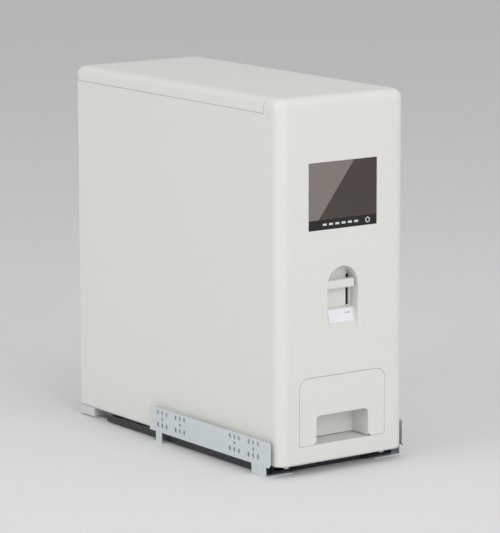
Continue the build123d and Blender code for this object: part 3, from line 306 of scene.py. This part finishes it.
galvanised = sheet_metal(
    "galvanised_steel", (0.68, 0.74, 0.77), (0.76, 0.82, 0.84), (0.40, 0.52), metallic=0.6, flake=800.0
)
zinc = sheet_metal("zinc_sheet", (0.66, 0.67, 0.68), (0.74, 0.75, 0.76), (0.3, 0.42), flake=500.0)
bright = sheet_metal("bright_steel", (0.60, 0.60, 0.61), (0.68, 0.68, 0.69), (0.18, 0.3), flake=900.0)
black_rail = sheet_metal(
    "black_rail_steel", (0.018, 0.018, 0.020), (0.03, 0.03, 0.033), (0.34, 0.46), metallic=0.0
)

give(zinc, "base_plate", "mechanism_plate_left", "mechanism_plate_right", "rear_cross_plate")
give(zinc, "plate_spacers", "hinge_brackets")
for side in ("left", "right"):
    give(black_rail, "middle_rail_" + side, "inner_rail_" + side)
    eased("outer_rail_" + side, "runner_" + side, 0.0002, black_rail)
    eased("side_bracket_" + side, "bracket_" + side, 0.0003, galvanised)
eased("front_tie_bar", "tie_bar", 0.0002, black_rail)
give(bright, "frame_rivets", "hinge_pins", "lever_shaft", "drum_shaft", "bearing_balls")
give(bright, "lever_retaining_rings", "drum_retaining_rings", "return_spring")

# ------------------------------------------------------------------ screws
# Pan-head steel screws with a cross recess hold the covers, plates, hopper and tray. One is turned and
# punched here, then copied to every place where the part has a screw.


def loose_boxes(node):
    """The low and high corner of each separate solid in a node."""
    shape = bmesh.new()
    shape.from_mesh(nodes[node].data)
    bmesh.ops.remove_doubles(shape, verts=shape.verts, dist=0.000002)
    waiting = set(shape.verts)
    boxes = []
    while waiting:
        reached = [waiting.pop()]
        found = []
        while reached:
            vert = reached.pop()
            found.append(vert.co.copy())
            for link in vert.link_edges:
                other = link.other_vert(vert)
                if other in waiting:
                    waiting.remove(other)
                    reached.append(other)
        low = Vector([min(co[axis] for co in found) for axis in range(3)])
        high = Vector([max(co[axis] for co in found) for axis in range(3)])
        boxes.append((low, high))
    shape.free()
    return boxes


head_radius = 0.0028
shank_radius = 0.0016
recess_size = (0.0032, 0.0006, 0.0016)


def one_screw(total, head):
    """A pan-head screw along -Z with the top of its head at the origin."""
    bpy.ops.mesh.primitive_cylinder_add(vertices=32, radius=head_radius, depth=head)
    screw = bpy.context.object
    screw.location.z = -head / 2
    bpy.ops.object.transform_apply(location=True, rotation=False, scale=False)
    bpy.ops.object.mode_set(mode="EDIT")
    bpy.ops.mesh.select_mode(type="FACE")
    bpy.ops.mesh.select_all(action="DESELECT")
    shape = bmesh.from_edit_mesh(screw.data)
    top = max(shape.faces, key=lambda face: face.calc_center_median().z)
    top.select = True
    bmesh.update_edit_mesh(screw.data)
    bpy.ops.mesh.bevel(offset=head * 0.35, segments=4, affect="EDGES")
    bpy.ops.object.mode_set(mode="OBJECT")
    bpy.ops.mesh.primitive_cylinder_add(vertices=24, radius=shank_radius, depth=1.0)
    shank = bpy.context.object
    shank.scale.z = total - head
    shank.location.z = -head - (total - head) / 2
    bpy.ops.object.transform_apply(location=True, rotation=False, scale=True)
    bpy.ops.object.select_all(action="DESELECT")
    cutters = []
    for turn in (0, pi / 2):
        bpy.ops.mesh.primitive_cube_add(size=1.0, rotation=(0, 0, turn))
        cutter = bpy.context.object
        cutter.scale = recess_size
        bpy.ops.object.transform_apply(location=False, rotation=True, scale=True)
        cutters.append(cutter)
    for cutter in cutters:
        only(screw)
        punch = screw.modifiers.new("punch", "BOOLEAN")
        punch.operation = "DIFFERENCE"
        punch.object = cutter
        bpy.ops.object.modifier_apply(modifier=punch.name)
        bpy.data.objects.remove(cutter)
    only(screw)
    shank.select_set(True)
    bpy.ops.object.join()
    return screw


def screws(node, name, head, out):
    """Copies of one screw on every screw of a node, with their heads facing the way given."""
    boxes = loose_boxes(node)
    facing = Vector(out)
    axis = max(range(3), key=lambda count: abs(facing[count]))
    first_low, first_high = boxes[0]
    pattern = one_screw(first_high[axis] - first_low[axis], head)
    copies = []
    for low, high in boxes:
        seat = (low + high) / 2
        seat[axis] = high[axis] if facing[axis] > 0 else low[axis]
        copy = bpy.data.objects.new(name, pattern.data.copy())
        bpy.context.scene.collection.objects.link(copy)
        copy.matrix_world = Matrix.Translation(seat) @ facing.to_track_quat("Z", "Y").to_matrix().to_4x4()
        copies.append(copy)
    bpy.data.objects.remove(pattern)
    only(copies[0])
    for copy in copies:
        copy.select_set(True)
    bpy.ops.object.transform_apply(location=True, rotation=True, scale=True)
    bpy.ops.object.join()
    piece = bpy.context.object
    piece.name = name
    bpy.context.scene.cursor.location = (0, 0, 0)
    bpy.ops.object.origin_set(type="ORIGIN_CURSOR")
    smooth(piece, 30)
    piece.data.materials.clear()
    piece.data.materials.append(bright)
    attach(piece, nodes[node]["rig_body"])
    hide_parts(node)


pan_head = 0.0014
low_head = 0.0012
screws("rear_cover_screws", "cover_fixings", low_head, (0, 1, 0))
screws("base_screws", "base_fixings", pan_head, (0, 0, -1))
screws("hopper_screws", "hopper_fixings", pan_head, (0, 0, 1))
screws("mechanism_screws", "plate_fixings", pan_head, (0, 0, 1))
screws("hinge_screws", "hinge_fixings", pan_head, (0, -1, 0))
screws("drawer_screws", "tray_fixings", pan_head, (0, -1, 0))

# ------------------------------------------------------------------ sight window
# Smoked acrylic, flush with the front. A black band is printed along its foot with a plain row of dashes
# and a ring. The upper left corner carries a painted reflection: a lighter tint with a straight slanting
# edge.


def calculate(tree, operation, first, second=0.0):
    """One step of arithmetic on sockets or numbers."""
    step = add_node(tree, "Math", operation=operation)
    for socket, value in zip(step.inputs, (first, second)):
        if isinstance(value, (int, float)):
            socket.default_value = value
        else:
            tree.links.new(value, socket)
    return step.outputs[0]


def within(tree, value, centre, half):
    """One where a value lies within half of a centre, else nothing."""
    away = calculate(tree, "ABSOLUTE", calculate(tree, "SUBTRACT", value, centre))
    return calculate(tree, "LESS_THAN", away, half)


def distance(tree, across, level, centre):
    """How far a point lies from a centre, seen from the front."""
    side = calculate(tree, "SUBTRACT", across, centre[0])
    rise = calculate(tree, "SUBTRACT", level, centre[1])
    squares = [calculate(tree, "MULTIPLY", step, step) for step in (side, rise)]
    return calculate(tree, "SQRT", calculate(tree, "ADD", *squares))


def blended(tree, mask, first, second):
    """A colour that goes from the first to the second with the mask."""
    mix = add_node(tree, "Mix", data_type="RGBA")
    tree.links.new(mask, mix.inputs[0])
    for socket, colour in ((mix.inputs[6], first), (mix.inputs[7], second)):
        if isinstance(colour, tuple):
            socket.default_value = (*colour, 1)
        else:
            tree.links.new(colour, socket)
    return mix.outputs[2]


window, tree, shader = new_material("smoked_window")
place = add_node(tree, "TexCoord")
axes = add_node(tree, "SeparateXYZ")
tree.links.new(place.outputs["Object"], axes.inputs[0])
across, level = axes.outputs["X"], axes.outputs["Z"]
pane_foot = min(vert.co.z for vert in nodes["window_pane"].data.vertices)
band_height = 0.0126
band_top = pane_foot + band_height
band_middle = pane_foot + band_height / 2
# Beyond a slanting line, the upper left of the pane gets a painted reflection in its tint.
border_lean = 0.768
border_foot = -0.038
slant = calculate(tree, "MULTIPLY", calculate(tree, "SUBTRACT", level, band_top), border_lean)
border = calculate(tree, "ADD", slant, border_foot)
painted_reflection_side = calculate(tree, "LESS_THAN", across, border)
haze = add_node(tree, "TexNoise", in_Scale=22.0, in_Detail=2.0)
tree.links.new(place.outputs["Object"], haze.inputs["Vector"])
dark_tint = blended(tree, haze.outputs["Fac"], (0.050, 0.040, 0.032), (0.064, 0.046, 0.040))
# The pale tint below is a painted reflection, laid over the upper left of the pane.
painted_reflection_tint = blended(tree, haze.outputs["Fac"], (0.200, 0.176, 0.160), (0.225, 0.188, 0.172))
tint = blended(tree, painted_reflection_side, dark_tint, painted_reflection_tint)
on_band = calculate(tree, "LESS_THAN", level, band_top)
tint = blended(tree, on_band, tint, (0.004, 0.004, 0.004))
dash_pitch = 0.0098
dash_share = 0.62
dash_half_height = 0.0013
row_start = -0.0315
row_middle = -0.0021
row_half = 0.0292
ring_x = 0.0385
ring_radius = 0.0029
ring_half_line = 0.0006
along_row = calculate(tree, "MULTIPLY", calculate(tree, "ADD", across, -row_start), 1 / dash_pitch)
printed_part = calculate(tree, "LESS_THAN", calculate(tree, "FRACT", along_row), dash_share)
dash = calculate(tree, "MULTIPLY", printed_part, within(tree, level, band_middle, dash_half_height))
dash = calculate(tree, "MULTIPLY", dash, within(tree, across, row_middle, row_half))
from_ring = distance(tree, across, level, (ring_x, band_middle))
ring = within(tree, from_ring, ring_radius, ring_half_line)
marks = calculate(tree, "MAXIMUM", dash, ring)
tint = blended(tree, marks, tint, (0.72, 0.72, 0.70))
tree.links.new(tint, shader.inputs["Base Color"])
smear = add_node(tree, "MapRange", in_1=0.3, in_2=0.7, in_3=0.07, in_4=0.13)
tree.links.new(haze.outputs["Fac"], smear.inputs[0])
tree.links.new(smear.outputs[0], shader.inputs["Roughness"])
eased("window_pane", "sight_pane", 0.0003, window)

# ------------------------------------------------------------------ dose label
# A glossy white plastic plate glued to the ramp under the lever. It has a small printed grey mark, a plain
# row of three dots, near its upper right corner.
label, tree, shader = new_material("label_white")
place = add_node(tree, "TexCoord")
axes = add_node(tree, "SeparateXYZ")
tree.links.new(place.outputs["Object"], axes.inputs[0])
across, level = axes.outputs["X"], axes.outputs["Z"]
corners = [vert.co for vert in nodes["dose_label"].data.vertices]
label_top = max(corner.z for corner in corners)
label_side = max(corner.x for corner in corners)
dot_radius = 0.0009
dot_pitch = 0.0026
mark_x = label_side - 0.0072
mark_z = label_top - 0.0052
dots = 0.0
for step in (-1, 0, 1):
    centre = (mark_x + step * dot_pitch, mark_z)
    dot = calculate(tree, "LESS_THAN", distance(tree, across, level, centre), dot_radius)
    dots = calculate(tree, "MAXIMUM", dot, dots)
cloud = add_node(tree, "TexNoise", in_Scale=60.0, in_Detail=2.0)
tree.links.new(place.outputs["Object"], cloud.inputs["Vector"])
paper_tone = blended(tree, cloud.outputs["Fac"], (0.84, 0.85, 0.88), (0.88, 0.89, 0.92))
printed = blended(tree, dots, paper_tone, (0.30, 0.31, 0.33))
tree.links.new(printed, shader.inputs["Base Color"])
sheen = add_node(tree, "MapRange", in_1=0.3, in_2=0.7, in_3=0.16, in_4=0.24)
tree.links.new(cloud.outputs["Fac"], sheen.inputs[0])
tree.links.new(sheen.outputs[0], shader.inputs["Roughness"])
eased("dose_label", "dose_plate", 0.00015, label)
